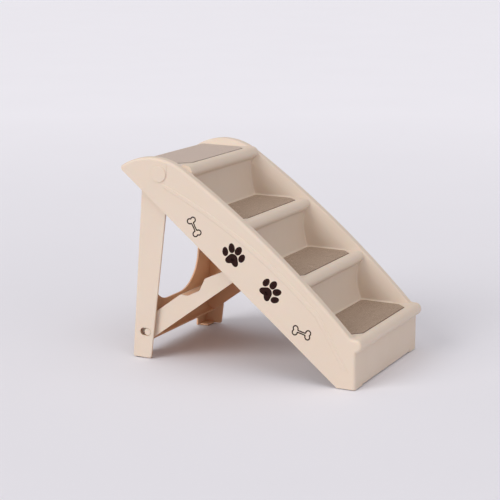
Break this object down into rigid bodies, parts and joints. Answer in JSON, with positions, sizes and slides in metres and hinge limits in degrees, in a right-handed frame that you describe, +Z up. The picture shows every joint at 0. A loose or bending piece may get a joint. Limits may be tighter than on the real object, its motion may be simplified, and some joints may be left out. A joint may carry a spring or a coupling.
{
  "type": "pet stairs",
  "caption": "Folding moulded pet stairs with felt treads, curved side panels, a rear leg frame on hinge pins and a folding brace.",
  "frame": {"origin": "on the floor, under the middle of the object's box with the legs unfolded", "axes": "+Z up, +Y from the lowest step towards the platform, +X to the right when climbing"},
  "size_m": [0.4052, 0.644, 0.5117],
  "materials": {
    "beige_plastic": "satin moulded, warm beige",
    "tread_felt": "short brown grey pile",
    "foot_rubber": "matt"
  },
  "bodies": {
    "stairs": {"stair_body": "beige_plastic", "tread_mat_1": "tread_felt", "tread_mat_2": "tread_felt", "tread_mat_3": "tread_felt", "tread_mat_4": "tread_felt", "hinge_pin_left": "beige_plastic", "hinge_pin_right": "beige_plastic", "foot_pad_front_left": "foot_rubber", "foot_pad_front_right": "foot_rubber"},
    "legs": {"leg_frame": "beige_plastic", "foot_pad_rear_left": "foot_rubber", "foot_pad_rear_right": "foot_rubber"},
    "strut": {"brace": "beige_plastic"}
  },
  "joints": [
    {"name": "leg_fold", "type": "hinge", "parent": "stairs", "child": "legs", "pos_m": [0, 0.213, 0.473], "axis": [-1, 0, 0], "range_deg": [0, 52]},
    {"name": "brace_fold", "type": "hinge", "parent": "legs", "child": "strut", "pos_m": [0, 0.258, 0.069], "axis": [-1, 0, 0], "range_deg": [0, 49.5]}
  ],
  "couplings": [
    {"joint": "brace_fold", "follows": "leg_fold", "ratio": 0.9519}
  ]
}
